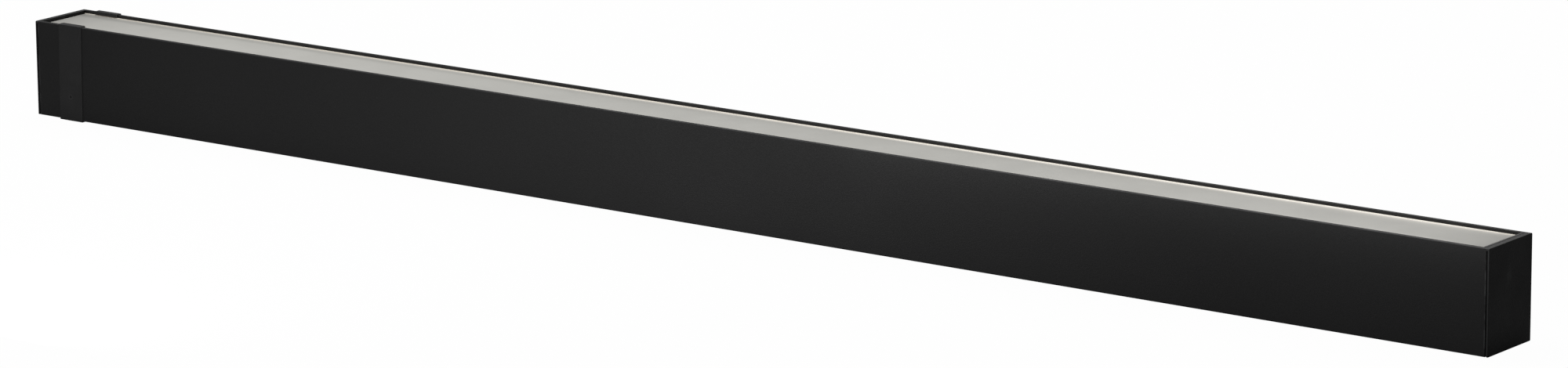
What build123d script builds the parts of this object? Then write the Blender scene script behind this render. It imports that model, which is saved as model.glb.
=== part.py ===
"""Wall light bar for use above a mirror: a black extruded channel, open at the top, with an opal diffuser
let into the opening, a driver and two LED boards inside, and a sheet clip that slides along the bar.

X runs along the bar, Y from its front face to the wall, Z up. Millimetres. Pieces are drawn with z = 0 at
the housing's underside and lifted at the end by the clip's web, on which the bar rests.
"""
import os

from build123d import *

# Whole bar
bar_length = 1000.0
bar_depth = 43.0
bar_height = 57.0

# Housing profile
wall = 2.5  # front and rear walls, seen as the rim
floor_sheet = 2.2
corner_r = 0.6  # outer corners
rim_r = 0.3  # inner edge of the rim
shelf_drop = 16.0  # from the rim down to the two shelves under the LED tray
shelf_sheet = 2.0
front_shelf = 2.5  # how far the front shelf reaches in
rib_reach = 1.5  # ribs that hold the tray down
rib_sheet = 1.2
ledge_reach = 1.6  # ledges under the diffuser's edges
ledge_sheet = 1.2

# Screw channels: pairs of ribs on the floor that screws bite between
channel_inset = 6.3  # from the lower chamber's sides to a channel's middle
channel_rib = 1.4
channel_height = 4.0

# Groove along the rear face for the wall brackets
groove_depth = 3.4
groove_wall = 2.0
groove_low = 13.0
lip_sheet = 1.4
lip_drop = 2.5

# Diffuser
recess = 1.95  # from the rim down to its face
diffuser_sheet = 2.0
diffuser_gap = 0.15  # beside the walls
bead_width = 1.0
bead_height = 0.35
snap_sheet = 1.2
snap_gap = 0.3  # between a snap leg and its ledge
snap_play = 0.2  # between a barb and the ledge above it
barb_height = 1.2
barb_reach = 0.9

# Ends
plate_sheet = 0.95
plate_edge = 0.2  # its chamfer
gasket_sheet = 1.0
gasket_inset = 0.5  # the seam's depth, seen as a dark line
ear_height = 1.2  # the plate's return that closes the seam under the rim
ear_gap = 0.05
flange_depth = 1.25  # how far the plate's plug enters the channel
plug_gap = 0.15
bracket_sheet = 1.2
bracket_gap = 0.45  # between the plug and the bracket's leg
bracket_side_gap = 1.1
bracket_foot = 14.0
bracket_bend_r = 1.0
end_screw_height = 24.0

# LED tray, boards and packages
tray_sheet = 2.0
tray_gap = 0.2  # beside the walls and under the hold-down ribs
end_gap = 0.3  # from the tray and the diffuser to what stops their ends
board_margin = 8.8  # room beside the boards, where the leads come up
board_sheet = 1.6
board_gap = 0.2
board_end = 6.0
board_split = 1.0
rail_width = 1.0  # the tray's two rails, each with a lip over the board's edge
rail_lip = 0.8
rail_lip_sheet = 0.8
rail_gap = 0.2  # over the board
led_length = 3.5
led_width = 2.8
led_height = 0.8
leds_per_board = 24
board_screw_inset = 4.5  # from a board's rear edge to its screw's middle
link_length = 9.0
link_width = 7.0
link_height = 2.6

# Driver
driver_start = 70.0
driver_length = 300.0
driver_height = 21.0
driver_side_gap = 3.3
driver_wall = 1.3
driver_ear = 11.0
driver_ear_sheet = 1.8
driver_edge = 1.0
lid_sheet = 1.4
lid_lip = 1.2
lid_gap = 0.15
post_width = 4.0
post_height = 3.0
driver_board_sheet = 1.6
driver_board_gap = 0.4
transformer_size = 20.0
transformer_height = 12.0
transformer_at = 0.5  # along the driver's own board, from 0 to 1
coil_overhang = 3.0
capacitor_r = 5.0
capacitor_length = 20.0
film_length = 13.0
film_width = 8.0
film_height = 10.0
capacitor_at = 0.22
choke_r = 7.0
choke_bore_r = 3.0
choke_height = 5.0
choke_at = 0.8

# Terminals, cord inlet and earth
terminal_end = -20.0  # the block's right-hand side
terminal_length = 20.0
terminal_height = 14.0
terminal_foot = 8.0
terminal_foot_sheet = 1.8
terminal_bore = 3.6  # width and height of a lead's entry
terminal_bore_height = 5.6
terminal_groove = 1.2
button_length = 4.0
button_width = 3.0
button_stand = 0.8  # above the block
clamp_at = -95.0
clamp_width = 9.0
clamp_sheet = 1.6
cord_r = 3.5  # of the mains cord that the clamp and the inlet take
earth_at = -70.0
tag_width = 6.4
tag_sheet = 0.8
inlet_at = -130.0
inlet_r = 3.6
inlet_neck = 1.2
inlet_flange = 2.0
inlet_flange_sheet = 1.2
inlet_gap = 0.1

# Leads
lead_r = 0.8
lead_bend_r = 3.5
lead_clearance = 0.3
lead_pitch = 3.4
lead_rise = 24.0  # from the driver's end to where its leads turn up
tray_ring = 0.7
tray_flange = 0.6
plug_length = 6.0
plug_width = 5.0
plug_height = 3.2

# Screws: shank and head of the size used
m3_r = 1.5
m3_flats = 5.5  # across the head
m3_head_height = 2.0
screw_gap = 0.1  # around a shank in its hole

# Wall brackets
hanger_at = 300.0  # from the bar's middle
hanger_length = 80.0
hanger_sheet = 1.5
hanger_hole_r = 2.4
hanger_hole_pitch = 50.0
hook_play = 0.25  # around the hook in the groove
hanger_foot_gap = 1.3
lock_screw_r = 1.25
lock_screw_sink = 1.0
socket_r = 0.8
socket_depth = 1.8

# Slide clip
clip_sheet = 0.5
clip_gap = 0.1  # running fit on the housing
clip_width = 17.3
clip_start = 18.4  # from the bar's left end to the front leg's foot
clip_lean = 1.0  # how far a leg leans to the right from foot to rim
clip_skew = 5.5  # how far the web runs to the left on its way back
hook_gap = 0.7  # from a wall's inner face to the hook's lip
hook_clear = 0.3  # from the hook's lip to the diffuser's bead
dimple_r = 1.2  # pressed into the middle of the front leg
dimple_depth = 0.3
dimple_at = 14.0  # above the housing's underside

# Places that follow from the sizes above
half_x = bar_length / 2
half_y = bar_depth / 2
inner_y = half_y - wall
groove_y = half_y - groove_depth
rear_y = groove_y - groove_wall  # rear side of the lower chamber
chamber_y = (rear_y - inner_y) / 2  # its middle
chamber_width = rear_y + inner_y
channel_y = (chamber_y - chamber_width / 2 + channel_inset, chamber_y + chamber_width / 2 - channel_inset)
channel_slot = 2 * (m3_r + screw_gap)
seat_z = floor_sheet + channel_height  # what is screwed to the floor stands on the channels
shelf_height = bar_height - shelf_drop  # the shelves' top
groove_high = shelf_height - shelf_sheet
lip_z = groove_high - lip_drop
lip_y = half_y - lip_sheet
tray_z = shelf_height + tray_sheet  # its top
board_z = tray_z + board_sheet
diffuser_z = bar_height - recess
ledge_z = diffuser_z - diffuser_sheet
profile_x = half_x - plate_sheet - gasket_sheet  # where the profile is cut off
flange_x = profile_x - flange_depth
leg_x = flange_x - bracket_gap - bracket_sheet
tray_x = leg_x - end_gap
clip_stand = clip_gap + clip_sheet  # how far the clip stands out from the housing
wall_y = half_y + clip_stand  # the brackets stand out as far as the clip
driver_width = chamber_width - 2 * driver_side_gap
driver_end = driver_start + driver_length


def rect(y0, y1, z0, z1):
    """A rectangle of the cross-section, from its edges."""
    return Pos((y0 + y1) / 2, (z0 + z1) / 2) * Rectangle(y1 - y0, z1 - z0)


def along_x(section, x0, x1):
    """A cross-section drawn as (Y, Z), made solid from x0 to x1."""
    return Pos(x0, 0, 0) * extrude(Plane.YZ * section, amount=x1 - x0)


def block(x0, x1, y0, y1, z0, z1):
    """A box from its six sides."""
    return Pos((x0 + x1) / 2, (y0 + y1) / 2, (z0 + z1) / 2) * Box(x1 - x0, y1 - y0, z1 - z0)


def hole(x, y, z0, z1, radius):
    """An upright round hole."""
    return Pos(x, y, (z0 + z1) / 2) * Cylinder(radius, z1 - z0)


def slot(x, y, z0, z1, open_x):
    """An upright screw slot, round about (x, y) and open towards open_x."""
    half = m3_r + screw_gap
    return hole(x, y, z0, z1, half) + block(*sorted((x, open_x)), y - half, y + half, z0, z1)


def screw(length):
    """An M3 hex-head screw, its head's seat at z = 0 and its shank below."""
    head = extrude(RegularPolygon(m3_flats / 2, 6, major_radius=False), m3_head_height)
    return head + hole(0, 0, -length, 0, m3_r)


def group(pieces):
    """Separate solids that share one node."""
    return Compound(list(pieces))


# ---------------------------------------------------------------- housing
def void_section():
    """The open inside of the profile, with its shelves, ribs, ledges and screw channels left standing."""
    void = rect(-inner_y, inner_y, floor_sheet, bar_height + wall)
    void -= rect(rear_y, half_y, 0, shelf_height)
    void -= rect(-inner_y, -inner_y + front_shelf, shelf_height - shelf_sheet, shelf_height)
    rib_z = tray_z + tray_gap
    for side in (-1, 1):
        for reach, low, high in (
            (rib_reach, rib_z, rib_z + rib_sheet),
            (ledge_reach, ledge_z - ledge_sheet, ledge_z),
        ):
            edges = sorted((side * inner_y, side * (inner_y - reach)))
            void -= rect(*edges, low, high)
    for middle in channel_y:
        outer = channel_slot / 2 + channel_rib
        ribs = rect(middle - outer, middle + outer, floor_sheet, seat_z)
        void -= ribs - rect(middle - channel_slot / 2, middle + channel_slot / 2, floor_sheet, seat_z)
    return void


def outline_section(inset=0.0):
    """The bar's outer cross-section, or one set in from it."""
    return Pos(0, bar_height / 2) * RectangleRounded(
        bar_depth - 2 * inset, bar_height - 2 * inset, corner_r
    )


def groove_section():
    """The rear groove: open to the wall below its lip and undercut behind it."""
    return rect(groove_y, half_y + wall, groove_low, lip_z) + rect(groove_y, lip_y, lip_z, groove_high)


def housing():
    """The extruded channel, with the lock screws' tapped holes and the cord's inlet."""
    section = outline_section() - void_section() - groove_section()
    rim = [v for v in section.vertices() if v.Y > bar_height - rim_r and abs(abs(v.X) - inner_y) < rim_r]
    body = along_x(fillet(rim, rim_r), -profile_x, profile_x)
    for side in (-1, 1):
        body -= hole(side * hanger_at, lock_screw_y(), 0, groove_low, lock_screw_r + screw_gap)
    inlet_hole = Cylinder(inlet_r + inlet_neck + inlet_gap, groove_wall)
    return body - Pos(inlet_at, rear_y + groove_wall / 2, inlet_z()) * Rot(90, 0, 0) * inlet_hole


# ---------------------------------------------------------------- diffuser
def diffuser():
    """The opal cover: a flat face, a bead along each edge and snap legs whose barbs catch the ledges."""
    edge = inner_y - diffuser_gap
    leg_y = inner_y - ledge_reach - snap_gap
    barb_z = ledge_z - ledge_sheet - snap_play
    bead = RectangleRounded(bead_width, 2 * bead_height, bead_height * 0.95)
    barb = Polygon((leg_y, barb_z - barb_height), (leg_y + barb_reach, barb_z), (leg_y, barb_z), align=None)
    section = rect(0, edge, ledge_z, diffuser_z)
    section += Pos(edge - bead_width / 2, diffuser_z) * bead
    section += rect(leg_y - snap_sheet, leg_y, barb_z - barb_height, ledge_z)
    rear_half = along_x(section + barb, -(flange_x - end_gap), tray_x)
    return rear_half + mirror(rear_half, Plane.XZ)


# ---------------------------------------------------------------- ends, drawn for the right-hand one
def end_plate():
    """The plain outer plate with the plug that fills the channel's end and ears that close its seam."""
    plate = along_x(outline_section(), half_x - plate_sheet, half_x)
    plate = chamfer(plate.faces().sort_by(Axis.X)[-1].edges(), plate_edge)
    below_rim = rect(-half_y, half_y, 0, bar_height)
    plug = offset(void_section(), amount=-plug_gap, kind=Kind.INTERSECTION) & below_rim
    plate += along_x(plug, flange_x, half_x - plate_sheet)
    rims = rect(-half_y, half_y, bar_height - ear_height, bar_height) & outline_section()
    ears = rims - rect(-inner_y, inner_y, 0, bar_height)
    plate += along_x(ears, profile_x + ear_gap, half_x - plate_sheet)
    for y in channel_y:
        depth = bracket_gap + flange_depth + gasket_sheet
        tapped = Rot(0, 90, 0) * Cylinder(m3_r + screw_gap, depth)
        plate -= Pos(flange_x - bracket_gap + depth / 2, y, end_screw_height) * tapped
    return plate


def end_gasket():
    """The dark rubber gasket between the plate and the profile's cut end, open at the top."""
    ring = outline_section(gasket_inset) - void_section()
    ring -= rect(-half_y, half_y, bar_height - ear_height, bar_height)
    return along_x(ring, profile_x, half_x - plate_sheet)


def end_bracket(leg_top):
    """A bent sheet bracket: its foot on the screw channels, its leg behind the plug."""
    low, high = -inner_y + front_shelf + bracket_side_gap, rear_y - bracket_side_gap
    foot_x = leg_x - bracket_foot
    profile = Polygon(
        (foot_x, seat_z),
        (leg_x + bracket_sheet, seat_z),
        (leg_x + bracket_sheet, leg_top),
        (leg_x, leg_top),
        (leg_x, seat_z + bracket_sheet),
        (foot_x, seat_z + bracket_sheet),
        align=None,
    )
    bend = profile.vertices().sort_by(lambda v: (v.X - leg_x) ** 2 + (v.Y - seat_z) ** 2)
    profile = fillet(bend[:1], bracket_bend_r)
    bracket = Pos(0, high, 0) * extrude(Plane.XZ * profile, amount=high - low)
    if leg_top > ledge_z:
        head_y = inner_y - bracket_gap
        bracket += block(leg_x, leg_x + bracket_sheet, -head_y, head_y, ledge_z + tray_gap, leg_top)
    for y in channel_y:
        bracket -= slot(foot_screw_x(), y, seat_z, seat_z + bracket_sheet, foot_x)
        across = Rot(0, 90, 0) * Cylinder(m3_r + screw_gap, bracket_sheet)
        bracket -= Pos(leg_x + bracket_sheet / 2, y, end_screw_height) * across
    return bracket


def foot_screw_x():
    """Middle of the end bracket's foot."""
    return leg_x - bracket_foot / 2


def at_left(piece):
    """The same piece at the left-hand end."""
    return mirror(piece, Plane.YZ)


def end_screws():
    """Screws from the brackets' legs into the plates' plugs, two at each end."""
    length = bracket_sheet + bracket_gap + flange_depth + gasket_sheet / 2
    right = [Pos(leg_x, y, end_screw_height) * Rot(0, -90, 0) * screw(length) for y in channel_y]
    return group(right + [at_left(s) for s in right])


def foot_screws():
    """Screws from the brackets' feet down into the screw channels."""
    length = bracket_sheet + channel_height - screw_gap
    right = [Pos(foot_screw_x(), y, seat_z + bracket_sheet) * screw(length) for y in channel_y]
    return group(right + [at_left(s) for s in right])


# ---------------------------------------------------------------- LED tray and boards
def board_half_width():
    """Half the boards' width: what the tray has left between its margins."""
    return inner_y - tray_gap - board_margin


def riser_place():
    """Middle of the opening in the tray where the two driver leads come up."""
    near = board_half_width() + board_gap + rail_width
    return driver_end + lead_rise + lead_pitch / 2, -(near + inner_y - rib_reach) / 2


def riser_section(grow):
    """The opening's outline round both leads, grown by a margin."""
    width = 2 * (lead_r + lead_clearance + grow)
    return Pos(*riser_place()) * Rectangle(lead_pitch + width, width)


def board_span(side):
    """Where a board starts and ends along X."""
    near, far = board_split / 2, tray_x - board_end
    return (near, far) if side > 0 else (-far, -near)


def board_screw_place(side):
    """Where a board is screwed down: halfway along, between its LEDs and its rear rail."""
    start, end = board_span(side)
    return (start + end) / 2, board_half_width() - board_screw_inset


def led_tray():
    """The aluminium tray on the shelves, with two lipped rails that the boards slide into."""
    half = inner_y - tray_gap
    section = rect(-half, half, shelf_height, tray_z)
    rail_y = board_half_width() + board_gap
    lip_low = board_z + rail_gap
    rail_top = lip_low + rail_lip_sheet
    for side in (-1, 1):
        rail = sorted((side * rail_y, side * (rail_y + rail_width)))
        lip = sorted((side * (rail_y - rail_lip), side * rail_y))
        section += rect(*rail, tray_z, rail_top) + rect(*lip, lip_low, rail_top)
    tray = along_x(section, -tray_x, tray_x)
    for side in (-1, 1):
        tray -= hole(*board_screw_place(side), shelf_height, tray_z, m3_r + screw_gap)
    x, _ = riser_place()
    half_gap = plug_length / 2 + lead_clearance
    lip_edge = -board_half_width() + rail_lip
    tray -= block(x - half_gap, x + half_gap, -half, lip_edge, tray_z, rail_top)
    return tray - Pos(0, 0, shelf_height) * extrude(riser_section(tray_ring), amount=tray_sheet)


def led_board(side):
    """One aluminium-cored LED board with its screw hole."""
    half = board_half_width()
    start, end = board_span(side)
    board = block(start, end, -half, half, tray_z, board_z)
    return board - hole(*board_screw_place(side), tray_z, board_z, m3_r + screw_gap)


def led_packages(side):
    """The LEDs in a row down the middle of a board."""
    start, end = board_span(side)
    step = (end - start) / leds_per_board
    led = Box(led_length, led_width, led_height)
    return group(
        Pos(start + (i + 0.5) * step, 0, board_z + led_height / 2) * led for i in range(leds_per_board)
    )


def board_screws():
    """Screws through both boards into the tray."""
    length = board_sheet + tray_sheet - screw_gap
    return group(Pos(*board_screw_place(side), board_z) * screw(length) for side in (-1, 1))


def board_link():
    """The jumper that joins the two boards' tracks across their split."""
    link = Pos(0, 0, board_z + link_height / 2) * Box(link_length, link_width, link_height)
    return chamfer(link.edges().group_by(Axis.Z)[-1], link_height / 5)


def tray_grommet():
    """The ring that keeps the leads off the tray's cut edge, with a flange above it."""
    ring = extrude(riser_section(tray_ring - screw_gap) - riser_section(0), amount=tray_sheet)
    flange = extrude(riser_section(tray_ring + tray_flange) - riser_section(0), amount=tray_flange)
    return Pos(0, 0, shelf_height) * ring + Pos(0, 0, tray_z) * flange


def board_plug():
    """The two-pole connector at the board's front edge that the driver's leads plug into."""
    x, _ = riser_place()
    y0, half = -board_half_width(), plug_length / 2
    plug = block(x - half, x + half, y0, y0 + plug_width, board_z, board_z + plug_height)
    return chamfer(plug.edges().group_by(Axis.Z)[-1], plug_height / 8)


# ---------------------------------------------------------------- driver
def driver_board_z():
    """Underside of the driver's board, on its posts."""
    return seat_z + driver_wall + post_height


def driver_span(gap):
    """The driver's inside in plan, less a gap: x0, x1, y0, y1."""
    inset = driver_wall + gap
    half = driver_width / 2 - inset
    return driver_start + inset, driver_end - inset, chamber_y - half, chamber_y + half


def driver_posts():
    """The four posts that carry the driver's board."""
    x0, x1, y0, y1 = driver_span(post_width / 2 + driver_board_gap)
    return [(x, y) for x in (x0, x1) for y in (y0, y1)]


def lead_window(x0, x1, y):
    """A square window for one lead through one of the driver's end walls."""
    half = lead_r + lead_clearance
    return block(x0, x1, y - half, y + half, lead_z() - half, lead_z() + half)


def lead_z():
    """Height at which the leads pass through the driver's ends: a little above its board."""
    return driver_board_z() + driver_board_sheet + 2 * lead_r


def driver_case():
    """The driver's open case, with a foot at each end, posts for its board and holes for its leads."""
    half = driver_width / 2
    rim_z = seat_z + driver_height - lid_sheet
    case = block(driver_start, driver_end, chamber_y - half, chamber_y + half, seat_z, rim_z)
    case = chamfer(case.edges().filter_by(Axis.Z), driver_edge)
    case -= block(*driver_span(0), seat_z + driver_wall, rim_z)
    feet_x = (driver_start - driver_ear, driver_end + driver_ear)
    feet = block(*feet_x, chamber_y - half, chamber_y + half, seat_z, seat_z + driver_ear_sheet)
    feet = chamfer(feet.edges().filter_by(Axis.Z), driver_ear / 4)
    case += feet - block(*driver_span(0), seat_z, rim_z)
    for (x, y), open_x in zip(driver_screw_places(), feet_x):
        case -= slot(x, y, seat_z, seat_z + driver_ear_sheet, open_x)
    for x, y in driver_posts():
        case += Pos(x, y, seat_z + driver_wall + post_height / 2) * Box(post_width, post_width, post_height)
    for y in mains_lead_y():
        case -= lead_window(driver_start, driver_start + driver_wall, y)
    for y in output_lead_y():
        case -= lead_window(driver_end - driver_wall, driver_end, y)
    return case


def driver_screw_places():
    """One screw in each of the driver's feet, on opposite channels."""
    feet_middle = (driver_start - driver_ear / 2, driver_end + driver_ear / 2)
    return list(zip(feet_middle, channel_y))


def driver_screws():
    """Screws from the driver's feet into the channels."""
    length = driver_ear_sheet + channel_height - screw_gap
    return group(Pos(x, y, seat_z + driver_ear_sheet) * screw(length) for x, y in driver_screw_places())


def driver_lid():
    """The lid, with a lip that drops inside the case's walls."""
    half = driver_width / 2
    top = seat_z + driver_height
    lid = block(driver_start, driver_end, chamber_y - half, chamber_y + half, top - lid_sheet, top)
    lid = chamfer(lid.edges().filter_by(Axis.Z), driver_edge)
    lip = block(*driver_span(lid_gap), top - lid_sheet - lid_lip, top - lid_sheet)
    return lid + lip - block(*driver_span(lid_gap + driver_wall), top - lid_sheet - lid_lip, top - lid_sheet)


def driver_board():
    """The circuit board that lies on the case's posts."""
    z0 = driver_board_z()
    return block(*driver_span(driver_board_gap), z0, z0 + driver_board_sheet)


def on_driver_board(at):
    """A place on the driver's board, at a share of its length."""
    x0, x1, _, _ = driver_span(driver_board_gap)
    return Pos(x0 + (x1 - x0) * at, chamber_y, driver_board_z() + driver_board_sheet)


def transformer():
    """The transformer: an E-core with its coil standing out at both sides."""
    core = Pos(0, 0, transformer_height / 2) * Box(
        transformer_size, transformer_size - 2 * coil_overhang, transformer_height
    )
    coil_height = transformer_height * 0.7
    coil = Pos(0, 0, transformer_height / 2) * Box(
        transformer_size * 0.6, transformer_size, coil_height
    )
    coil = chamfer(coil.edges().filter_by(Axis.X), coil_height / 4)
    return on_driver_board(transformer_at) * (core + coil)


def capacitors():
    """An electrolytic capacitor lying on the board and a boxed film capacitor beside its end."""
    can = Pos(0, 0, capacitor_r) * Rot(0, 90, 0) * Cylinder(capacitor_r, capacitor_length)
    film_x = -(capacitor_length / 2 + capacitor_r + film_length / 2)
    film = Pos(film_x, 0, film_height / 2) * Box(film_length, film_width, film_height)
    return group(on_driver_board(capacitor_at) * piece for piece in (can, film))


def choke():
    """The ring choke lying on the board, its winding drawn twelve-sided."""
    ring = RegularPolygon(choke_r, 12) - RegularPolygon(choke_bore_r, 12)
    return on_driver_board(choke_at) * extrude(ring, amount=choke_height)


# ---------------------------------------------------------------- terminals, inlet and earth
def pole_y():
    """The three poles across the terminal block."""
    pitch = driver_width / 3
    return [chamber_y + i * pitch for i in (-1, 0, 1)]


def terminal_block():
    """The three-pole push-in block: an entry along X for each pole, and a foot at its left."""
    half = driver_width / 2
    left = terminal_end - terminal_length
    top = seat_z + terminal_height
    body = block(left, terminal_end, chamber_y - half, chamber_y + half, seat_z, top)
    body += block(
        left - terminal_foot, left, chamber_y - half, chamber_y + half, seat_z, seat_z + terminal_foot_sheet
    )
    pitch = driver_width / 3
    for side in (-1, 1):
        middle = chamber_y + side * pitch / 2
        body -= block(
            left, terminal_end, middle - terminal_groove / 2, middle + terminal_groove / 2,
            seat_z + terminal_height / 2, top,
        )
    for y in pole_y():
        half_bore = terminal_bore / 2
        body -= block(
            left, terminal_end, y - half_bore, y + half_bore, terminal_z() - half_bore, terminal_z() + half_bore
        )
        for x in button_x():
            body -= button(x, y, screw_gap)
    for y in channel_y:
        body -= slot(left - terminal_foot / 2, y, seat_z, seat_z + terminal_foot_sheet, left - terminal_foot)
    return body


def terminal_z():
    """Middle height of the leads' entries."""
    return seat_z + terminal_bore_height


def button_x():
    """The two release buttons of each pole."""
    left = terminal_end - terminal_length
    return left + terminal_length / 4, left + 3 * terminal_length / 4


def button(x, y, gap):
    """A release button, from the lead's top to above the block, grown in plan by a gap."""
    half_x_button, half_y_button = button_length / 2 + gap, button_width / 2 + gap
    low, high = terminal_z() + lead_r + screw_gap, seat_z + terminal_height + button_stand
    return block(x - half_x_button, x + half_x_button, y - half_y_button, y + half_y_button, low, high)


def terminal_buttons():
    """Release buttons of the push-in clamps."""
    return group(button(x, y, 0) for x in button_x() for y in pole_y())


def terminal_fixings():
    """Screws from the block's foot into the channels."""
    x = terminal_end - terminal_length - terminal_foot / 2
    length = terminal_foot_sheet + channel_height - screw_gap
    return group(Pos(x, y, seat_z + terminal_foot_sheet) * screw(length) for y in channel_y)


def inlet_z():
    """Height of the cord's inlet: the middle of the groove's open part."""
    return (groove_low + lip_z) / 2


def cable_grommet():
    """The rubber bush in the rear wall, a flange on each side of it, through which the cord comes in."""
    neck_r = inlet_r + inlet_neck
    flange_r = neck_r + inlet_flange
    inner = rear_y - inlet_flange_sheet
    outer = groove_y + inlet_flange_sheet
    outline = Polyline(
        (inlet_r, inner),
        (flange_r, inner),
        (flange_r, rear_y),
        (neck_r, rear_y),
        (neck_r, groove_y),
        (flange_r, groove_y),
        (flange_r, outer),
        (inlet_r, outer),
        close=True,
    )
    return Pos(inlet_at, 0, inlet_z()) * revolve(make_face(outline), Axis.Y)


def cord_clamp():
    """The saddle that holds the cord down on the channels."""
    half = driver_width / 2
    arch_r = cord_r + clamp_sheet
    section = rect(chamber_y - half, chamber_y + half, seat_z, seat_z + clamp_sheet)
    section += Pos(chamber_y, seat_z) * Circle(arch_r)
    section -= Pos(chamber_y, seat_z) * Circle(cord_r)
    section &= rect(-half_y, half_y, seat_z, bar_height)
    clamp = along_x(section, clamp_at - clamp_width / 2, clamp_at + clamp_width / 2)
    for y in channel_y:
        clamp -= slot(clamp_at, y, seat_z, seat_z + clamp_sheet, clamp_at - clamp_width / 2)
    return clamp


def clamp_screws():
    """Screws through the saddle's ends into the channels."""
    length = clamp_sheet + channel_height - screw_gap
    return group(Pos(clamp_at, y, seat_z + clamp_sheet) * screw(length) for y in channel_y)


def earth_screw():
    """The earth screw, through the lead's tag into the rear channel."""
    return Pos(earth_at, channel_y[1], seat_z + tag_sheet) * screw(tag_sheet + channel_height - screw_gap)


# ---------------------------------------------------------------- leads
def lead(*points):
    """A thin lead along straight runs joined by arcs, its insulation drawn eight-sided."""
    route = FilletPolyline(*points, radius=lead_bend_r)
    return sweep((route ^ 0) * RegularPolygon(lead_r, 8), path=route)


def mains_lead_y():
    """Where the two mains leads enter the driver."""
    return chamber_y - driver_width / 6, chamber_y + driver_width / 6


def output_lead_y():
    """Where the two low-voltage leads leave the driver."""
    return chamber_y - driver_width / 6, chamber_y - driver_width / 6 + lead_pitch


def mains_leads():
    """Two leads from the terminal block to the driver."""
    start = button_x()[1] - button_length / 2
    bend = (driver_start - terminal_end) / 3
    return group(
        lead(
            (start, y0, terminal_z()),
            (terminal_end + bend, y0, terminal_z()),
            (driver_start - bend, y1, lead_z()),
            (driver_start + driver_wall, y1, lead_z()),
        )
        for y0, y1 in zip(pole_y(), mains_lead_y())
    )


def output_leads():
    """Two leads from the driver's right end up through the tray to the board's plug."""
    x, y = riser_place()
    top = board_z + plug_height / 2
    run = lead_rise / 2
    leads = []
    for i, y0 in enumerate(output_lead_y()):
        x_up = x + (i - 0.5) * lead_pitch
        leads.append(
            lead(
                (driver_end - driver_wall, y0, lead_z()),
                (x_up - run, y0, lead_z()),
                (x_up, y, lead_z()),
                (x_up, y, top),
                (x_up, -board_half_width(), top),
            )
        )
    return group(leads)


def earth_lead():
    """The earth lead from the block's third pole to a flat tag on the rear channel."""
    left = terminal_end - terminal_length
    start = button_x()[0] + button_length / 2
    y = channel_y[1]
    lead_top = seat_z + tag_sheet + lead_r
    half = tag_width / 2
    tag_edge = earth_at + half
    tag = block(earth_at - half, tag_edge, y - half, y + half, seat_z, seat_z + tag_sheet)
    tag -= hole(earth_at, y, seat_z, seat_z + tag_sheet, m3_r + screw_gap)
    tongue = block(tag_edge, tag_edge + half, y - lead_r, y + lead_r, seat_z, seat_z + tag_sheet)
    wire = lead(
        (start, pole_y()[2], terminal_z()),
        (left - terminal_foot, pole_y()[2], terminal_z()),
        (tag_edge + 2 * lead_bend_r, y, lead_top),
        (tag_edge + tag_sheet, y, lead_top),
    )
    return group([tag + tongue, wire])


# ---------------------------------------------------------------- wall brackets
def lock_screw_y():
    """The lock screws stand under the brackets' feet."""
    return (groove_y + hook_play + wall_y - hanger_sheet) / 2


def hanger_foot_z():
    """Underside of a bracket's foot."""
    return groove_low + hanger_foot_gap


def wall_bracket(side):
    """A steel hanger: a plate on the wall, a hook up behind the groove's lip and a foot turned inwards."""
    plate_y = wall_y - hanger_sheet
    hook_y = lip_y - hook_play
    foot_z = hanger_foot_z()
    profile = Polygon(
        (wall_y, foot_z),
        (wall_y, lip_z),
        (hook_y, lip_z),
        (hook_y, groove_high - hook_play),
        (groove_y + hook_play, groove_high - hook_play),
        (groove_y + hook_play, lip_z - hanger_sheet),
        (plate_y, lip_z - hanger_sheet),
        (plate_y, foot_z + hanger_sheet),
        (groove_y + hook_play, foot_z + hanger_sheet),
        (groove_y + hook_play, foot_z),
        align=None,
    )
    x0 = side * hanger_at - hanger_length / 2
    plate = along_x(profile, x0, x0 + hanger_length)
    for place in (-1, 1):
        x = side * hanger_at + place * hanger_hole_pitch / 2
        middle = (x, plate_y + hanger_sheet / 2, hanger_hole_z())
        plate -= Pos(*middle) * Rot(90, 0, 0) * Cylinder(hanger_hole_r, hanger_sheet)
    return plate


def hanger_hole_z():
    """The wall screws' height: halfway up a bracket's plate."""
    return (hanger_foot_z() + lip_z) / 2


def lock_screws():
    """Set screws in the housing's rear rib, their ends against the brackets' feet."""
    bolt = hole(0, 0, lock_screw_sink, hanger_foot_z(), lock_screw_r)
    bolt -= Pos(0, 0, lock_screw_sink) * extrude(RegularPolygon(socket_r, 6), amount=socket_depth)
    return group(Pos(side * hanger_at, lock_screw_y(), 0) * bolt for side in (-1, 1))


# ---------------------------------------------------------------- slide clip
def clip_band():
    """The clip's bent cross-section: round the housing, over both rims and down inside them."""
    band = outline_section(-clip_stand) - outline_section(-clip_gap)
    lip_edge = inner_y - hook_gap - clip_sheet
    band -= rect(-lip_edge, lip_edge, bar_height, bar_height + 2 * clip_stand)
    lip_low = diffuser_z + bead_height + hook_clear
    for side in (-1, 1):
        edges = sorted((side * lip_edge, side * (lip_edge + clip_sheet)))
        band += rect(*edges, lip_low, bar_height + clip_stand)
    return band


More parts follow.
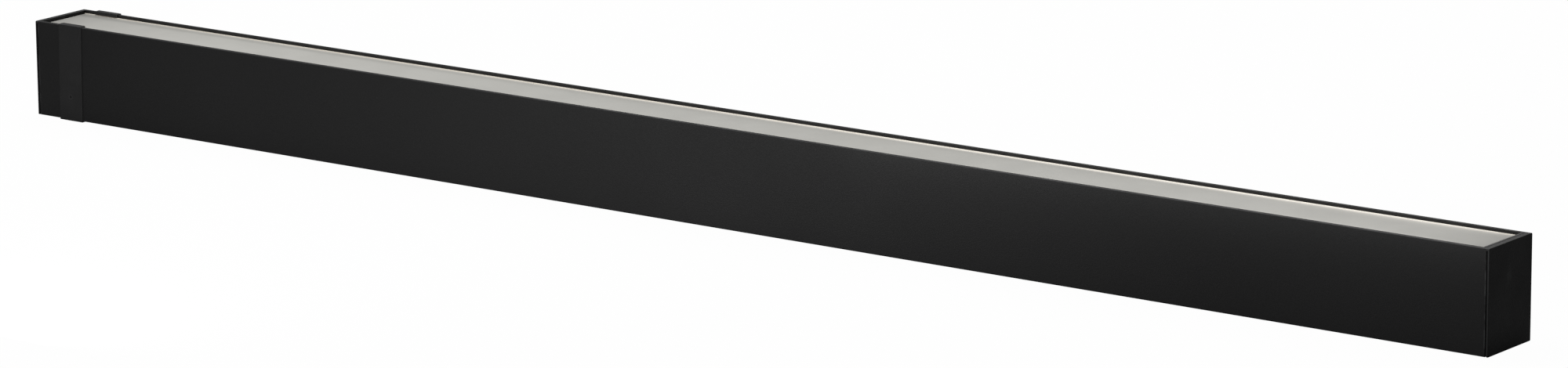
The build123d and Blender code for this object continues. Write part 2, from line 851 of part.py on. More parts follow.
def slide_clip():
    """The sheet clip, cut slantwise: its legs lean a little and its web runs back to the left."""
    low, high = -clip_stand, bar_height + clip_stand
    front = -half_x + clip_start
    rear = front - clip_skew
    split = inner_y - hook_gap - clip_sheet
    band = along_x(clip_band(), rear - clip_width, front + 2 * clip_width)
    legs = []
    for foot, lean, y0, y1 in (
        (front, clip_lean, -half_y - clip_stand, -split),
        (rear, -clip_lean, split, half_y + clip_stand),
    ):
        leg = Polygon(
            (foot, low),
            (foot + clip_width, low),
            (foot + clip_width + lean, high),
            (foot + lean, high),
            align=None,
        )
        legs.append(Pos(0, y1, 0) * extrude(Plane.XZ * leg, amount=y1 - y0))
    web = Polygon(
        (front, -split),
        (front + clip_width, -split),
        (rear + clip_width, split),
        (rear, split),
        align=None,
    )
    web = Pos(0, 0, low) * extrude(web, amount=clip_stand + corner_r)
    ball_r = (dimple_r**2 + dimple_depth**2) / (2 * dimple_depth)
    dimple_x = front + clip_width / 2 + clip_lean * (dimple_at - low) / (high - low)
    dimple = Pos(dimple_x, dimple_depth - ball_r - half_y - clip_stand, dimple_at) * Sphere(ball_r)
    return (band & (legs[0] + legs[1] + web)) - dimple


# ---------------------------------------------------------------- all nodes
def nodes():
    """Every piece by its node's name."""
    parts = {
        "housing": housing(),
        "diffuser": diffuser(),
        "end_plate_right": end_plate(),
        "end_plate_left": at_left(end_plate()),
        "end_gasket_right": end_gasket(),
        "end_gasket_left": at_left(end_gasket()),
        "end_bracket_right": end_bracket(bar_height),
        "end_bracket_left": at_left(end_bracket(ledge_z - end_gap)),
        "end_screws": end_screws(),
        "foot_screws": foot_screws(),
        "led_tray": led_tray(),
        "board_screws": board_screws(),
        "board_link": board_link(),
        "board_plug": board_plug(),
        "tray_grommet": tray_grommet(),
        "driver_case": driver_case(),
        "driver_lid": driver_lid(),
        "driver_board": driver_board(),
        "driver_screws": driver_screws(),
        "transformer": transformer(),
        "capacitors": capacitors(),
        "choke": choke(),
        "terminal_block": terminal_block(),
        "terminal_buttons": terminal_buttons(),
        "terminal_fixings": terminal_fixings(),
        "cable_grommet": cable_grommet(),
        "cord_clamp": cord_clamp(),
        "clamp_screws": clamp_screws(),
        "earth_screw": earth_screw(),
        "mains_leads": mains_leads(),
        "output_leads": output_leads(),
        "earth_lead": earth_lead(),
        "lock_screws": lock_screws(),
        "slide_clip": slide_clip(),
    }
    for name, side in (("left", -1), ("right", 1)):
        parts[f"led_board_{name}"] = led_board(side)
        parts[f"led_packages_{name}"] = led_packages(side)
        parts[f"wall_bracket_{name}"] = wall_bracket(side)
    return parts


os.makedirs("parts", exist_ok=True)
for node, shape in nodes().items():
    export_step(Pos(0, 0, clip_stand) * shape, f"parts/{node}.step")
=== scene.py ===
import math

import bmesh
import bpy
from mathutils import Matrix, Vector


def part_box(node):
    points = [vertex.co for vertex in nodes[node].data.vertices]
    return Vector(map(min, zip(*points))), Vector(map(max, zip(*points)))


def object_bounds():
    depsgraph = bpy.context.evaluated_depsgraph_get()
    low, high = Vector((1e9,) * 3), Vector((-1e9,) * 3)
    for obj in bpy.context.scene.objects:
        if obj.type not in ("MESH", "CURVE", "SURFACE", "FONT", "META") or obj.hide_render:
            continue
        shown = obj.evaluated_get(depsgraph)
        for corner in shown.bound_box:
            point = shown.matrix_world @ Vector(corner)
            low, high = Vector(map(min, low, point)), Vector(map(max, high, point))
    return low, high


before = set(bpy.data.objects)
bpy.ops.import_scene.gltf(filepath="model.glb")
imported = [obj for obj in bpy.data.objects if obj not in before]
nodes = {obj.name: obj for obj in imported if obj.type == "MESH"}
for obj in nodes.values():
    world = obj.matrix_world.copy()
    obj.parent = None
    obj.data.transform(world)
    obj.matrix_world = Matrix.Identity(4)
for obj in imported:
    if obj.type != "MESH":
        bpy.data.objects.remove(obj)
cad_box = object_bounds()

# ---------------------------------------------------------------- camera
# A long lens 3.6 m away, in front of the bar, to its right and a little above it, with no shift and no
# depth of field.
camera = bpy.data.objects.new("camera", bpy.data.cameras.new("camera"))
bpy.context.scene.collection.objects.link(camera)
bpy.context.scene.camera = camera
bpy.context.scene.view_settings.view_transform = "Standard"
camera.data.sensor_width = 36.0
camera.data.lens = 148.41
camera.data.clip_start = 0.1
camera.data.clip_end = 200.0
camera.location = (2.1111, -2.7808, 0.8345)
camera.rotation_euler = [math.radians(angle) for angle in (76.871, 0.378, 36.599)]

# ---------------------------------------------------------------- studio
# A white floor that runs out of sight, white surroundings, and five soft boxes: one overhead, one low in
# front of the bar's left half, one over the right half of its front edge with a thin strip close below it,
# and one low behind the bar that the right-hand rims catch.
def put(tree, kind, inputs=(), **settings):
    """Adds a node, with settings by name and inputs given as values or as sockets to link."""
    node = tree.nodes.new(kind)
    for key, value in settings.items():
        setattr(node, key, value)
    for key, value in dict(inputs).items():
        socket = node.inputs[key]
        if isinstance(value, bpy.types.NodeSocket):
            tree.links.new(value, socket)
        else:
            socket.default_value = value
    return node


def maths(tree, operation, *values):
    """One sum of sockets or numbers."""
    return put(tree, "ShaderNodeMath", dict(enumerate(values)), operation=operation).outputs[0]


def product(tree, first, *others):
    """Sockets or numbers multiplied together."""
    for other in others:
        first = maths(tree, "MULTIPLY", first, other)
    return first


def blend(tree, factor, first, second):
    """Two colours mixed by a factor."""
    node = put(tree, "ShaderNodeMix", {0: factor}, data_type="RGBA")
    for index, colour in ((6, first), (7, second)):
        if isinstance(colour, bpy.types.NodeSocket):
            tree.links.new(colour, node.inputs[index])
        else:
            node.inputs[index].default_value = (*colour, 1)
    return node.outputs[2]


def background_share(tree, direct, mirrored):
    """How much of plain white a ray sees: one from the camera, and one from a mirror or through glass."""
    rays = put(tree, "ShaderNodeLightPath").outputs
    indirect = maths(tree, "MAXIMUM", rays["Is Glossy Ray"], rays["Is Transmission Ray"])
    from_camera = product(tree, rays["Is Camera Ray"], direct)
    return maths(tree, "MAXIMUM", from_camera, product(tree, indirect, mirrored))


def studio_floor(half_side, gap):
    """A flat square sheet at a small gap under the bar, clear from below."""
    mesh = bpy.data.meshes.new("floor")
    sheet = bmesh.new()
    bmesh.ops.create_grid(sheet, x_segments=1, y_segments=1, size=half_side)
    bmesh.ops.translate(sheet, verts=sheet.verts, vec=(0, 0, cad_box[0].z - gap))
    sheet.to_mesh(mesh)
    sheet.free()
    floor = bpy.data.objects.new("floor", mesh)
    bpy.context.scene.collection.objects.link(floor)

    paper = bpy.data.materials.new("floor_paper")
    paper.use_nodes = True
    tree = paper.node_tree
    matt = tree.nodes["Principled BSDF"]
    seen = put(tree, "ShaderNodeLightPath").outputs["Is Camera Ray"]
    tree.links.new(blend(tree, seen, (0.25, 0.25, 0.25), (0.9, 0.9, 0.9)), matt.inputs["Base Color"])
    matt.inputs["Roughness"].default_value = 0.9
    matt.inputs["Specular IOR Level"].default_value = 0.1
    white = put(tree, "ShaderNodeEmission", {"Color": (1, 1, 1, 1), "Strength": 1.0})
    share = background_share(tree, direct=0.98, mirrored=0.05)
    top = put(tree, "ShaderNodeMixShader", {0: share, 1: matt.outputs[0], 2: white.outputs[0]})
    below = put(tree, "ShaderNodeNewGeometry").outputs["Backfacing"]
    clear = put(tree, "ShaderNodeBsdfTransparent")
    sheet_mix = put(tree, "ShaderNodeMixShader", {0: below, 1: top.outputs[0], 2: clear.outputs[0]})
    tree.links.new(sheet_mix.outputs[0], tree.nodes["Material Output"].inputs["Surface"])
    mesh.materials.append(paper)


def studio_surroundings():
    """A dim even light from all round, which shows as white behind the bar."""
    world = bpy.data.worlds.new("studio")
    bpy.context.scene.world = world
    world.use_nodes = True
    tree = world.node_tree
    around = tree.nodes["Background"]
    around.inputs["Color"].default_value = (0.97, 0.98, 1.0, 1)
    around.inputs["Strength"].default_value = 0.1
    white = put(tree, "ShaderNodeBackground", {"Color": (1, 1, 1, 1), "Strength": 1.0})
    share = background_share(tree, direct=1.0, mirrored=0.1)
    mix = put(tree, "ShaderNodeMixShader", {0: share, 1: around.outputs[0], 2: white.outputs[0]})
    tree.links.new(mix.outputs[0], tree.nodes["World Output"].inputs["Surface"])


def soft_box(name, place, aim, size, power, colour=(1, 1, 1)):
    """A rectangular lamp that faces a point and isn't seen itself."""
    lamp = bpy.data.lights.new(name, "AREA")
    lamp.shape = "RECTANGLE"
    lamp.size, lamp.size_y = size
    lamp.energy = power
    lamp.color = colour
    box = bpy.data.objects.new(name, lamp)
    bpy.context.scene.collection.objects.link(box)
    box.location = place
    box.rotation_euler = (Vector(aim) - Vector(place)).to_track_quat("-Z", "Y").to_euler()
    box.visible_camera = False
    return box


studio_floor(half_side=60.0, gap=0.0003)
studio_surroundings()
soft_box("overhead_box", place=(-0.75, 0.3, 2.2), aim=(-0.1, 0, 0), size=(2.6, 1.4), power=42.5)
soft_box("front_box", place=(-0.2, -0.42, 0.05), aim=(-0.2, 0, 0.03), size=(0.16, 0.12), power=0.465)
soft_box("edge_box", place=(0.42, -0.16, 0.2), aim=(0.42, 0, 0), size=(0.45, 0.08), power=0.075)
soft_box("rim_strip", place=(0.3, -0.05, 0.057), aim=(0.3, 0, 0.05), size=(0.44, 0.008), power=0.0155)
back_box = soft_box(
    "back_box",
    place=(-0.35, 1.7, 0.8),
    aim=(0.45, 0, 0.05),
    size=(1.1, 0.5),
    power=1.2,
    colour=(1.0, 0.97, 0.92),
)
back_box.visible_diffuse = False


# ---------------------------------------------------------------- housing
# The extruded aluminium channel: open along its top, with a groove along its rear face for the brackets.
# It is coated with a fine matte black powder, which stops short at the sawn ends and shows some bare metal,
# painted paler there also as a highlight on the end edges.
def noise(tree, vector, scale, detail):
    """Soft random clouds, so many to the metre."""
    return put(tree, "ShaderNodeTexNoise", {"Vector": vector, "Scale": scale, "Detail": detail}).outputs[0]


def ramp(tree, value, low, high, start=0.0, end=1.0):
    """A value carried from one range to another, held at its ends."""
    node = put(tree, "ShaderNodeMapRange", {"Value": value}, interpolation_type="SMOOTHSTEP")
    for key, number in (("From Min", low), ("From Max", high), ("To Min", start), ("To Max", end)):
        node.inputs[key].default_value = number
    return node.outputs["Result"]


def split(tree, vector):
    """The X, Y and Z of a place or a direction."""
    return put(tree, "ShaderNodeSeparateXYZ", {0: vector}).outputs


def group_node(name, inputs, outputs):
    """An empty node group that takes a place and numbers: its tree, what comes in and what goes out."""
    tree = bpy.data.node_groups.new(name, "ShaderNodeTree")
    tree.interface.new_socket("Vector", in_out="INPUT", socket_type="NodeSocketVector")
    for label, start in inputs.items():
        socket = tree.interface.new_socket(label, in_out="INPUT", socket_type="NodeSocketFloat")
        socket.default_value = start
    for label in outputs:
        tree.interface.new_socket(label, in_out="OUTPUT", socket_type="NodeSocketFloat")
    return tree, tree.nodes.new("NodeGroupInput").outputs, tree.nodes.new("NodeGroupOutput").inputs


def powder_grain_group():
    """Powder coat: the fine orange peel, its tone with slow patches, and a few pale specks."""
    inputs = {"Grain": 1500.0, "Patch": 8.0}
    tree, ins, outs = group_node("powder_grain", inputs, ("Height", "Tone", "Specks"))
    place, grain = ins["Vector"], ins["Grain"]
    fine = noise(tree, place, grain, 3.0)
    peel = put(tree, "ShaderNodeTexVoronoi", {"Vector": place, "Scale": grain}, feature="SMOOTH_F1")
    slow = noise(tree, place, ins["Patch"], 3.0)
    dots = noise(tree, place, 420.0, 4.0)
    fine_share, slow_share, peel_share = 0.4, 0.6, 0.5
    mottle = product(tree, ramp(tree, fine, 0.35, 0.65), fine_share)
    patches = product(tree, ramp(tree, slow, 0.3, 0.7), slow_share)
    height = maths(tree, "ADD", fine, product(tree, peel.outputs["Distance"], peel_share))
    tree.links.new(height, outs["Height"])
    tree.links.new(maths(tree, "ADD", mottle, patches), outs["Tone"])
    tree.links.new(ramp(tree, dots, 0.7, 0.78), outs["Specks"])
    return tree


def new_finish(name):
    """A material with its tree, its surface shader and the piece's own coordinates."""
    material = bpy.data.materials.new(name)
    material.use_nodes = True
    tree = material.node_tree
    return material, tree, tree.nodes["Principled BSDF"], put(tree, "ShaderNodeTexCoord").outputs["Object"]


def use_group(tree, group, place, **values):
    """Places a node group at a piece's own coordinates and gives its outputs."""
    return put(tree, "ShaderNodeGroup", {"Vector": place, **values}, node_tree=group).outputs


def paint(tree, surface, colour, roughness):
    """Gives a surface its colour and its roughness."""
    tree.links.new(colour, surface.inputs["Base Color"])
    tree.links.new(roughness, surface.inputs["Roughness"])


def bump(tree, surface, height, strength, depth):
    """Raises a surface by a height, in metres at full strength."""
    node = put(tree, "ShaderNodeBump", {"Height": height, "Strength": strength, "Distance": depth})
    tree.links.new(node.outputs[0], surface.inputs["Normal"])


def dress(material, *names):
    """Gives CAD nodes their finish."""
    for name in names:
        nodes[name].material_slots[0].material = material


def housing_finish():
    """Matte black powder with pale specks; the sawn ends are paler, as bare nicked metal with a painted
    highlight.
    """
    material, tree, surface, place = new_finish("housing_coat")
    grain = use_group(tree, powder_grain, place, Grain=1500.0, Patch=7.0)
    end_x, bare_reach, bare_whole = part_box("housing")[1].x, 0.0008, 0.0001
    from_middle = maths(tree, "ABSOLUTE", split(tree, place)["X"])
    # Painted highlight, partly bare metal: the coat is paler within 0.8 mm of the sawn ends, broken up by
    # nicks.
    at_end = ramp(tree, from_middle, end_x - bare_reach, end_x - bare_whole)
    nicks = ramp(tree, noise(tree, place, 120.0, 2.0), 0.4, 0.62)
    speck_share = 0.35
    colour = blend(tree, grain["Tone"], (0.0195, 0.0193, 0.0195), (0.0255, 0.0253, 0.0255))
    colour = blend(tree, product(tree, grain["Specks"], speck_share), colour, (0.06, 0.06, 0.06))
    colour = blend(tree, product(tree, at_end, nicks), colour, (0.09, 0.091, 0.091))
    paint(tree, surface, colour, ramp(tree, grain["Tone"], 0.0, 1.0, 0.56, 0.44))
    surface.inputs["Specular IOR Level"].default_value = 0.3
    bump(tree, surface, grain["Height"], strength=0.5, depth=0.0001)
    return material


powder_grain = powder_grain_group()
dress(housing_finish(), "housing")


# ---------------------------------------------------------------- LED tray, boards and leads above the tray
# A mill-finish aluminium tray slides in on the housing's shelves. Two white LED boards slide into its lipped
# rails, each held by one zinc-plated screw, with a jumper over their split and a plug for the driver's leads.
def drawn_metal_group():
    """Drawn or rolled metal: long fine lines along X, with slow patches."""
    inputs = {"Lines": 1800.0, "Stretch": 0.01}
    tree, ins, outs = group_node("drawn_metal", inputs, ("Height", "Patches"))
    place = ins["Vector"]
    along = put(tree, "ShaderNodeCombineXYZ", {"X": ins["Stretch"], "Y": 1.0, "Z": 1.0}).outputs[0]
    drawn = put(tree, "ShaderNodeVectorMath", {0: place, 1: along}, operation="MULTIPLY").outputs[0]
    tree.links.new(noise(tree, drawn, ins["Lines"], 4.0), outs["Height"])
    tree.links.new(ramp(tree, noise(tree, place, 40.0, 3.0), 0.3, 0.7), outs["Patches"])
    return tree


def moulded_group():
    """Moulded plastic or rubber: a fine even grain and a slight cloudiness."""
    tree, ins, outs = group_node("moulded", {"Grain": 2500.0}, ("Height", "Patches"))
    place = ins["Vector"]
    tree.links.new(noise(tree, place, ins["Grain"], 2.0), outs["Height"])
    tree.links.new(ramp(tree, noise(tree, place, 70.0, 2.0), 0.3, 0.7), outs["Patches"])
    return tree


def metal_finish(name, dark, light, rough, lines=1800.0, stretch=0.01):
    """A bare or plated metal with drawn lines."""
    material, tree, surface, place = new_finish(name)
    drawn = use_group(tree, drawn_metal, place, Lines=lines, Stretch=stretch)
    tone = product(tree, maths(tree, "ADD", drawn["Patches"], drawn["Height"]), 0.5)
    either_way = 0.08
    roughness = ramp(tree, tone, 0.0, 1.0, rough - either_way, rough + either_way)
    paint(tree, surface, blend(tree, tone, dark, light), roughness)
    surface.inputs["Metallic"].default_value = 1.0
    bump(tree, surface, drawn["Height"], strength=0.15, depth=0.00004)
    return material


def moulded_finish(name, dark, light, rough, grain=2500.0, strength=0.2):
    """A moulded plastic or rubber."""
    material, tree, surface, place = new_finish(name)
    skin = use_group(tree, moulded, place, Grain=grain)
    either_way = 0.06
    roughness = ramp(tree, skin["Height"], 0.3, 0.7, rough - either_way, rough + either_way)
    paint(tree, surface, blend(tree, skin["Patches"], dark, light), roughness)
    bump(tree, surface, skin["Height"], strength, depth=0.00004)
    return material


def lead_finish(name, dark, light):
    """A lead's glossy plastic insulation."""
    return moulded_finish(name, dark, light, rough=0.28, strength=0.04)


def board_finish():
    """White solder mask over thin copper tracks, which show through as raised, slightly darker lines."""
    material, tree, surface, place = new_finish("board_white")
    radians_per_metre = 2200.0  # a track every 2.9 mm
    across = product(tree, split(tree, place)["Y"], radians_per_metre)
    track = ramp(tree, maths(tree, "SINE", across), 0.55, 0.7)
    colour = blend(tree, track, (0.84, 0.84, 0.82), (0.74, 0.75, 0.72))
    paint(tree, surface, colour, ramp(tree, track, 0.0, 1.0, 0.28, 0.36))
    bump(tree, surface, track, strength=0.4, depth=0.00003)
    return material


def led_finish():
    """A white package with a yellow phosphor window on top of each LED."""
    material, tree, surface, place = new_finish("led_phosphor")
    window_half, frame_half = 0.0010, 0.00115
    x, y, z = split(tree, place)
    top_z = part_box("led_packages_right")[1].z
    on_top = ramp(tree, z, top_z - 0.00012, top_z - 0.00005)
    middle = ramp(tree, maths(tree, "ABSOLUTE", y), window_half, frame_half, 1.0, 0.0)
    window = product(tree, on_top, middle)
    colour = blend(tree, window, (0.85, 0.84, 0.80), (0.85, 0.60, 0.10))
    paint(tree, surface, colour, ramp(tree, window, 0.0, 1.0, 0.45, 0.3))
    return material


drawn_metal, moulded = drawn_metal_group(), moulded_group()
plated = (900.0, 1.0)  # grain without a direction, as plating or turning leaves on a small part
tray_aluminium = metal_finish("tray_aluminium", (0.60, 0.61, 0.62), (0.76, 0.77, 0.78), 0.32)
screw_steel = metal_finish("screw_steel", (0.50, 0.51, 0.52), (0.68, 0.69, 0.69), 0.3, *plated)
connector_white = moulded_finish("connector_white", (0.78, 0.77, 0.72), (0.84, 0.83, 0.79), 0.45)
tray_rubber = moulded_finish("tray_grommet_rubber", (0.016, 0.016, 0.016), (0.024, 0.024, 0.024), 0.7)
dress(tray_aluminium, "led_tray")
dress(screw_steel, "board_screws")
dress(board_finish(), "led_board_left", "led_board_right")
dress(led_finish(), "led_packages_left", "led_packages_right")
dress(connector_white, "board_link", "board_plug")
dress(tray_rubber, "tray_grommet")
dress(lead_finish("lead_red", (0.42, 0.02, 0.015), (0.55, 0.035, 0.03)), "output_leads")


# ---------------------------------------------------------------- driver
# A white polycarbonate case and lid on the screw channels, with a green circuit board on four posts that
# carries a taped transformer, a can and a film capacitor, and a ring choke wound with copper wire.
def laminate_finish():
    """Green solder mask over copper tracks laid out in a grid."""
    material, tree, surface, place = new_finish("circuit_laminate")
    cells = put(tree, "ShaderNodeTexBrick", {"Vector": place, "Scale": 260.0, "Mortar Size": 0.03})
    tracks = ramp(tree, cells.outputs["Fac"], 0.2, 0.8)
    colour = blend(tree, tracks, (0.02, 0.11, 0.04), (0.05, 0.20, 0.07))
    paint(tree, surface, colour, ramp(tree, tracks, 0.0, 1.0, 0.22, 0.34))
    bump(tree, surface, tracks, strength=0.4, depth=0.00003)
    return material


def wound_finish(name, dark, light, pitch, rough, metallic=0.0):
    """Even turns of wire or tape, one after the other along X, each turn rounded, with painted shade in the
    grooves.
    """
    material, tree, surface, place = new_finish(name)
    along = product(tree, split(tree, place)["X"], 2 * math.pi / pitch)
    turn = ramp(tree, maths(tree, "SINE", along), -1.0, 1.0)
    groove_rough = rough + 0.1
    # Painted shade: each turn is darker toward its groove and paler on its crown.
    paint(tree, surface, blend(tree, turn, dark, light), ramp(tree, turn, 0.0, 1.0, groove_rough, rough))
    surface.inputs["Metallic"].default_value = metallic
    bump(tree, surface, turn, strength=0.6, depth=pitch * 0.2)
    return material


driver_plastic = moulded_finish("driver_plastic", (0.74, 0.74, 0.72), (0.80, 0.80, 0.78), 0.5)
tape = wound_finish("transformer_tape", (0.45, 0.30, 0.02), (0.75, 0.55, 0.06), 0.004, 0.35)
sleeve = wound_finish("capacitor_sleeve", (0.02, 0.02, 0.03), (0.05, 0.05, 0.08), 0.010, 0.25)
copper = wound_finish("choke_copper", (0.35, 0.12, 0.04), (0.75, 0.36, 0.16), 0.0008, 0.3, metallic=1.0)
dress(driver_plastic, "driver_case", "driver_lid")
dress(screw_steel, "driver_screws")
dress(laminate_finish(), "driver_board")
dress(tape, "transformer")
dress(sleeve, "capacitors")
dress(copper, "choke")

# ---------------------------------------------------------------- terminals, inlet and earth
# A white push-in block with orange release buttons, screwed to the channels. The cord comes in through a
# black rubber bush in the rear wall and lies under a saddle. The green earth lead ends in a screwed tag.
terminal_plastic = moulded_finish("terminal_plastic", (0.76, 0.75, 0.70), (0.82, 0.81, 0.76), 0.42)
button_orange = moulded_finish("button_orange", (0.70, 0.20, 0.02), (0.80, 0.27, 0.03), 0.4)
brass = metal_finish("terminal_brass", (0.60, 0.42, 0.16), (0.78, 0.60, 0.28), 0.3, *plated)
bush_rubber = moulded_finish(
    "grommet_rubber", (0.014, 0.014, 0.014), (0.022, 0.022, 0.021), 0.65, grain=1800.0, strength=0.3
)
dress(terminal_plastic, "terminal_block", "cord_clamp")
dress(button_orange, "terminal_buttons")
dress(screw_steel, "terminal_fixings", "clamp_screws")
dress(brass, "earth_screw")
dress(bush_rubber, "cable_grommet")
dress(lead_finish("lead_brown", (0.16, 0.06, 0.02), (0.24, 0.10, 0.04)), "mains_leads")
dress(lead_finish("lead_green", (0.05, 0.26, 0.03), (0.12, 0.40, 0.05)), "earth_lead")


# ---------------------------------------------------------------- ends
# Bent steel brackets screwed to the channels, black gaskets set a little back from the face so that a dark
# seam shows, and plain end plates in a powder coat darker than the housing's as painted shade on the end
# faces, faintly scuffed and painted paler on their edges as a highlight.
def scuffs_group():
    """Faint upright scuffs and hairlines, as handling leaves on a matte coat."""
    tree, ins, outs = group_node("scuffs", {"Size": 260.0}, ("Scuffs",))
    place = ins["Vector"]
    factors = (1.0, 1.0, 0.09)
    drawn_up = put(tree, "ShaderNodeVectorMath", {0: place, 1: factors}, operation="MULTIPLY").outputs[0]
    strokes = ramp(tree, noise(tree, drawn_up, ins["Size"], 3.0), 0.6, 0.72)
    where = ramp(tree, noise(tree, place, 55.0, 2.0), 0.5, 0.68)
    tree.links.new(product(tree, strokes, where), outs["Scuffs"])
    return tree


def near(tree, value, middle, reach):
    """How near a value is to a middle: 1 there, and less beyond its reach."""
    away = maths(tree, "DIVIDE", maths(tree, "SUBTRACT", value, middle), reach)
    return maths(tree, "EXPONENT", product(tree, away, away, -1.0))


def facing_x(tree):
    """How squarely a surface faces along the bar: 1 for an end face, 0 for the bar's long faces."""
    facing = split(tree, put(tree, "ShaderNodeTexCoord").outputs["Normal"])
    return maths(tree, "ABSOLUTE", facing["X"])


def bracket_finish():
    """A thinner, slightly paler powder coat on bent sheet steel."""
    material, tree, surface, place = new_finish("bracket_coat")
    grain = use_group(tree, powder_grain, place, Grain=1800.0, Patch=20.0)
    colour = blend(tree, grain["Tone"], (0.052, 0.052, 0.051), (0.078, 0.078, 0.077))
    paint(tree, surface, colour, ramp(tree, grain["Tone"], 0.0, 1.0, 0.48, 0.38))
    bump(tree, surface, grain["Height"], strength=0.5, depth=0.0001)
    return material


def rubbed_spot(tree, place):
    """An upright rubbed spot a little above the middle of each end plate's face."""
    below_top, off_middle, half_wide, half_tall = 0.0191, -0.0018, 0.0024, 0.0075
    x, y, z = split(tree, place)
    across = near(tree, y, off_middle, half_wide)
    upward = near(tree, z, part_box("end_plate_right")[1].z - below_top, half_tall)
    drawn_up = put(tree, "ShaderNodeCombineXYZ", {"Y": y, "Z": product(tree, z, 0.12)}).outputs[0]
    strokes = ramp(tree, noise(tree, drawn_up, 700.0, 2.0), 0.42, 0.62)
    return product(tree, across, upward, strokes)


def end_plate_finish():
    """Powder coat on the plates, darker than the housing's as painted shade on the end faces: marked by
    handling, and painted paler on the thin edges as a highlight.
    """
    material, tree, surface, place = new_finish("end_coat")
    grain = use_group(tree, powder_grain, place, Grain=1500.0, Patch=30.0)
    marks = maths(tree, "MAXIMUM", use_group(tree, scuffs, place)["Scuffs"], rubbed_spot(tree, place))
    edge_share, mark_share, mark_gloss = 0.8, 0.5, 0.1
    # Painted highlight: faces that don't face along the bar, the plate's thin edges, are much paler.
    painted_edge_highlight = product(tree, ramp(tree, facing_x(tree), 0.2, 0.9, 1.0, 0.0), edge_share)
    # Painted shade: the base coat is about half as bright as the housing's, standing in for the shade on the
    # end faces.
    colour = blend(tree, grain["Tone"], (0.0095, 0.0095, 0.0095), (0.0135, 0.0134, 0.0134))
    colour = blend(tree, product(tree, marks, mark_share), colour, (0.04, 0.04, 0.04))
    colour = blend(tree, painted_edge_highlight, colour, (0.065, 0.066, 0.066))
    rough = ramp(tree, grain["Tone"], 0.0, 1.0, 0.56, 0.44)
    paint(tree, surface, colour, maths(tree, "SUBTRACT", rough, product(tree, marks, mark_gloss)))
    surface.inputs["Specular IOR Level"].default_value = 0.2
    bump(tree, surface, grain["Height"], strength=0.5, depth=0.0001)
    return material


scuffs = scuffs_group()
gasket_rubber = moulded_finish("gasket_rubber", (0.0022, 0.0022, 0.0022), (0.004, 0.004, 0.004), 0.8)
dress(bracket_finish(), "end_bracket_left", "end_bracket_right")
dress(screw_steel, "end_screws", "foot_screws")
dress(gasket_rubber, "end_gasket_left", "end_gasket_right")
dress(end_plate_finish(), "end_plate_left", "end_plate_right")


# ---------------------------------------------------------------- diffuser
# The cover of opal acrylic, drawn in one length and snapped in: a satin face, with painted shade toward its
# ends and rear wall, between two glossier beads, which pass more light: they are coloured paler and warmer
# and given a painted glow, more so toward the right.
def fade(tree, distance, reach):
    """1 at no distance, and less with each reach away."""
    return maths(tree, "EXPONENT", maths(tree, "DIVIDE", product(tree, distance, -1.0), reach))


def growing(tree, x, start=0.0, end=1.0):
    """A value that grows along the bar, from its left end to well right of its middle."""
    left_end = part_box("end_plate_left")[0].x
    return ramp(tree, x, left_end, 0.36, start, end)


def painted_opal_shade(tree, x, y, low, high):
    """Painted shade on the face: how much darker it is toward its ends, and toward its rear wall with a dip
    beside the bead.
    """
    end_depth, right_reach, left_reach = 0.32, 0.02, 0.032
    to_end = maths(tree, "MINIMUM", maths(tree, "SUBTRACT", high.x, x), maths(tree, "SUBTRACT", x, low.x))
    end_reach = ramp(tree, x, -0.2, 0.2, left_reach, right_reach)
    painted_end_shade = product(tree, fade(tree, to_end, end_reach), end_depth)

    wall_depth, wall_reach = 0.12, 0.012
    to_wall = maths(tree, "SUBTRACT", high.y, y)
    painted_wall_shade = product(tree, fade(tree, to_wall, wall_reach), wall_depth)

    dip_place, dip_reach, right_dip = 0.0045, 0.003, 0.055
    depth = growing(tree, x, 0.16, -0.04)
    depth = maths(tree, "MAXIMUM", depth, ramp(tree, x, 0.33, 0.41, right_dip, 0.0))
    painted_dip_shade = product(tree, near(tree, to_wall, dip_place, dip_reach), depth)
    return painted_end_shade, maths(tree, "ADD", painted_wall_shade, painted_dip_shade)


def painted_bead_glow(tree, x, y, high, painted_end_shade):
    """How strong the painted glow is on the beads and on the face beside them."""
    bead_width, left_reach, right_reach = 0.0015, 0.0012, 0.0024
    to_edge = maths(tree, "SUBTRACT", high.y, maths(tree, "ABSOLUTE", y))
    reach = ramp(tree, x, 0.2, 0.44, left_reach, right_reach)
    glow = fade(tree, maths(tree, "SUBTRACT", to_edge, bead_width), reach)
    off_ends = maths(tree, "SUBTRACT", 1.0, product(tree, painted_end_shade, 2.0))
    return product(tree, maths(tree, "MINIMUM", glow, 1.0), growing(tree, x, 0.16, 0.88), off_ends)


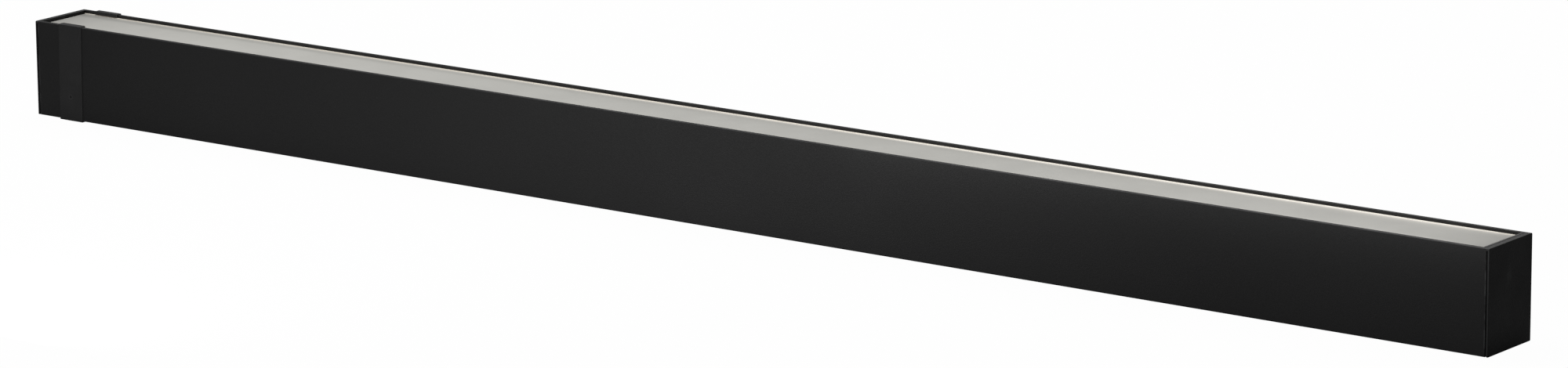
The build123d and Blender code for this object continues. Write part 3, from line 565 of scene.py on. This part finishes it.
def opal_finish():
    """Opal acrylic with faint lines along its length, painted shade toward its ends and rear wall, and a
    painted glow on its beads.
    """
    material, tree, surface, place = new_finish("opal_acrylic")
    x, y, z = split(tree, place)
    low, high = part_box("diffuser")
    bead_starts, bead_whole = high.y - 0.00115, high.y - 0.0009
    bead = ramp(tree, maths(tree, "ABSOLUTE", y), bead_starts, bead_whole)
    painted_end_shade, painted_wall_shade = painted_opal_shade(tree, x, y, low, high)
    lines = use_group(tree, drawn_metal, place, Lines=900.0, Stretch=0.004)
    face = blend(tree, lines["Patches"], (0.688, 0.678, 0.634), (0.728, 0.718, 0.672))
    # Painted shade: the face is darkened toward its ends and toward its rear wall.
    face = blend(tree, maths(tree, "ADD", painted_end_shade, painted_wall_shade), face, (0.0, 0.0, 0.0))
    colour = blend(tree, bead, face, (0.95, 0.90, 0.80))
    paint(tree, surface, colour, ramp(tree, bead, 0.0, 1.0, 0.42, 0.22))
    # Painted glow: emission on the beads and the face beside them, warmer and stronger toward the right.
    warm = blend(tree, growing(tree, x), (1.0, 0.86, 0.70), (1.0, 0.94, 0.86))
    glow = painted_bead_glow(tree, x, y, high, painted_end_shade)
    tree.links.new(blend(tree, glow, (0.0, 0.0, 0.0), warm), surface.inputs["Emission Color"])
    surface.inputs["Emission Strength"].default_value = 0.44
    surface.inputs["Specular IOR Level"].default_value = 0.2
    bump(tree, surface, lines["Height"], strength=0.1, depth=0.00003)
    return material


dress(opal_finish(), "diffuser")

# ---------------------------------------------------------------- wall brackets
# Two zinc-plated steel hangers hooked up into the rear groove, drilled for two wall screws each, and locked
# by a set screw from below.
hanger_steel = metal_finish(
    "hanger_steel", (0.42, 0.43, 0.44), (0.62, 0.63, 0.64), 0.36, lines=500.0, stretch=0.6
)
dress(hanger_steel, "wall_bracket_left", "wall_bracket_right")
dress(screw_steel, "lock_screws")


# ---------------------------------------------------------------- slide clip
# A band of thin spring steel bent round the bar, cut a little slantwise and dimpled low in its front leg. Its
# satin black coat is smoother than the housing's; its bare cut edges are painted paler as a highlight, and
# its dimple has painted shade in it and a painted highlight round it.
def dimple_shade_and_highlight(tree, place):
    """Painted shade in the pressed dimple in the front leg, and a painted highlight in a ring round it."""
    from_left, from_foot = 0.0154, 0.0146
    ring_radius, ring_width = 0.00125, 0.0004
    x, y, z = split(tree, place)
    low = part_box("slide_clip")[0]
    off_x = maths(tree, "SUBTRACT", x, low.x + from_left)
    off_z = maths(tree, "SUBTRACT", z, low.z + from_foot)
    squares = maths(tree, "ADD", product(tree, off_x, off_x), product(tree, off_z, off_z))
    radius = maths(tree, "SQRT", squares)
    on_front = ramp(tree, y, low.y + 0.001, low.y + 0.0015, 1.0, 0.0)
    painted_hollow_shade = product(tree, ramp(tree, radius, 0.0008, 0.0011, 1.0, 0.0), on_front)
    painted_ring_highlight = product(tree, near(tree, radius, ring_radius, ring_width), on_front)
    return painted_hollow_shade, painted_ring_highlight


def clip_finish():
    """A fine satin black coat with a few scuffs, paler on the band's cut edges as bare steel with a painted
    highlight.
    """
    material, tree, surface, place = new_finish("clip_coat")
    grain = use_group(tree, powder_grain, place, Grain=2600.0, Patch=60.0)
    marks = use_group(tree, scuffs, place, Size=420.0)["Scuffs"]
    painted_hollow_shade, painted_ring_highlight = dimple_shade_and_highlight(tree, place)
    cut_edge_highlight = ramp(tree, facing_x(tree), 0.6, 0.9)
    mark_share, ring_share = 0.4, 0.6
    colour = blend(tree, grain["Tone"], (0.029, 0.0288, 0.029), (0.037, 0.0367, 0.037))
    colour = blend(tree, product(tree, marks, mark_share), colour, (0.035, 0.035, 0.035))
    # Painted shade in the dimple's hollow, and a painted highlight on the ring round it.
    colour = blend(tree, painted_hollow_shade, colour, (0.012, 0.012, 0.012))
    colour = blend(tree, product(tree, painted_ring_highlight, ring_share), colour, (0.065, 0.065, 0.065))
    # Painted highlight, partly bare steel: faces across the bar, the band's cut edges, are much paler.
    colour = blend(tree, cut_edge_highlight, colour, (0.13, 0.13, 0.128))
    paint(tree, surface, colour, ramp(tree, grain["Tone"], 0.0, 1.0, 0.46, 0.38))
    surface.inputs["Specular IOR Level"].default_value = 0.35
    bump(tree, surface, grain["Height"], strength=0.4, depth=0.00008)
    return material


dress(clip_finish(), "slide_clip")
